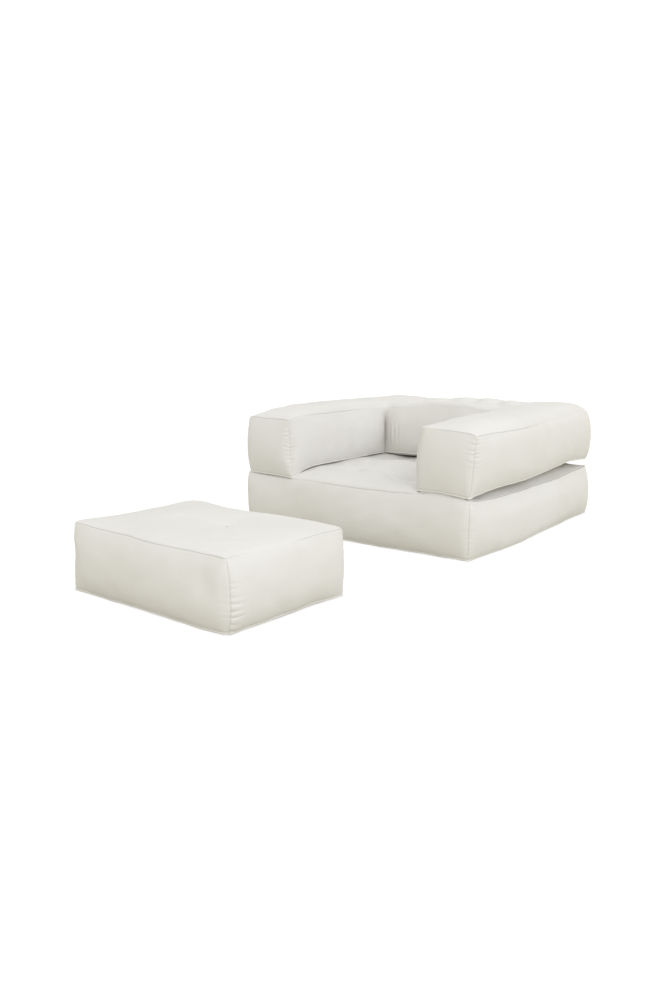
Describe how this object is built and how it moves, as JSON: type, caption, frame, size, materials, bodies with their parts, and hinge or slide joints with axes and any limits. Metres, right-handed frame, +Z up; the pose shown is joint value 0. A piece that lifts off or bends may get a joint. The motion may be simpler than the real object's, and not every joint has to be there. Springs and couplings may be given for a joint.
{
  "type": "chair bed",
  "caption": "Low armchair of stuffed canvas modules that unfolds into a floor bed: a seat slab, a U-shaped upper part on a fabric hinge, and a loose pouf.",
  "frame": {"origin": "centre of the seat slab's underside, on the floor", "axes": "+Z up; -Y towards the front, where the pouf stands; +X to the right as seen from the front"},
  "size_m": [1, 2.1302, 0.468],
  "materials": {
    "cover_canvas": "natural unbleached cotton canvas, matt, fine plain weave",
    "hinge_canvas": "the same canvas, doubled and stitched",
    "foam": null,
    "wadding": "cotton felt wadding",
    "tuft_twine": "waxed cotton tufting twine"
  },
  "bodies": {
    "seat": {"left_hinge_seat_leaf": "hinge_canvas", "right_hinge_seat_leaf": "hinge_canvas", "seat_bottom_panel": "cover_canvas", "seat_bottom_wadding": "wadding", "seat_foam_core": "foam", "seat_front_panel": "cover_canvas", "seat_left_panel": "cover_canvas", "seat_rear_panel": "cover_canvas", "seat_right_panel": "cover_canvas", "seat_top_panel": "cover_canvas", "seat_top_wadding": "wadding", "seat_tuft_ties": "tuft_twine"},
    "upper": {"back_bottom_wadding": "wadding", "back_foam": "foam", "back_front_panel": "cover_canvas", "back_rear_panel": "cover_canvas", "back_top_wadding": "wadding", "left_arm_bottom_wadding": "wadding", "left_arm_foam": "foam", "left_arm_front_panel": "cover_canvas", "left_arm_inner_panel": "cover_canvas", "left_arm_top_wadding": "wadding", "left_hinge_arm_leaf": "hinge_canvas", "left_outer_panel": "cover_canvas", "right_arm_bottom_wadding": "wadding", "right_arm_foam": "foam", "right_arm_front_panel": "cover_canvas", "right_arm_inner_panel": "cover_canvas", "right_arm_top_wadding": "wadding", "right_hinge_arm_leaf": "hinge_canvas", "right_outer_panel": "cover_canvas", "upper_bottom_panel": "cover_canvas", "upper_top_panel": "cover_canvas", "upper_tuft_ties": "tuft_twine"},
    "pouf": {"pouf_bottom_panel": "cover_canvas", "pouf_bottom_wadding": "wadding", "pouf_foam_core": "foam", "pouf_front_panel": "cover_canvas", "pouf_left_panel": "cover_canvas", "pouf_rear_panel": "cover_canvas", "pouf_right_panel": "cover_canvas", "pouf_top_panel": "cover_canvas", "pouf_top_wadding": "wadding", "pouf_tuft_tie": "tuft_twine"}
  },
  "joints": [
    {"name": "upper_unfold", "type": "hinge", "parent": "seat", "child": "upper", "pos_m": [0, -0.5365, 0.234], "axis": [1, 0, 0], "range_deg": [0, 180]},
    {"name": "pouf_slide", "type": "slide", "parent": "seat", "child": "pouf", "axis": [0, -1, 0], "range_m": [0, 0.65]}
  ],
  "couplings": [
    {"joint": "pouf_slide", "follows": "upper_unfold", "m_per_rad": 0.2069}
  ]
}
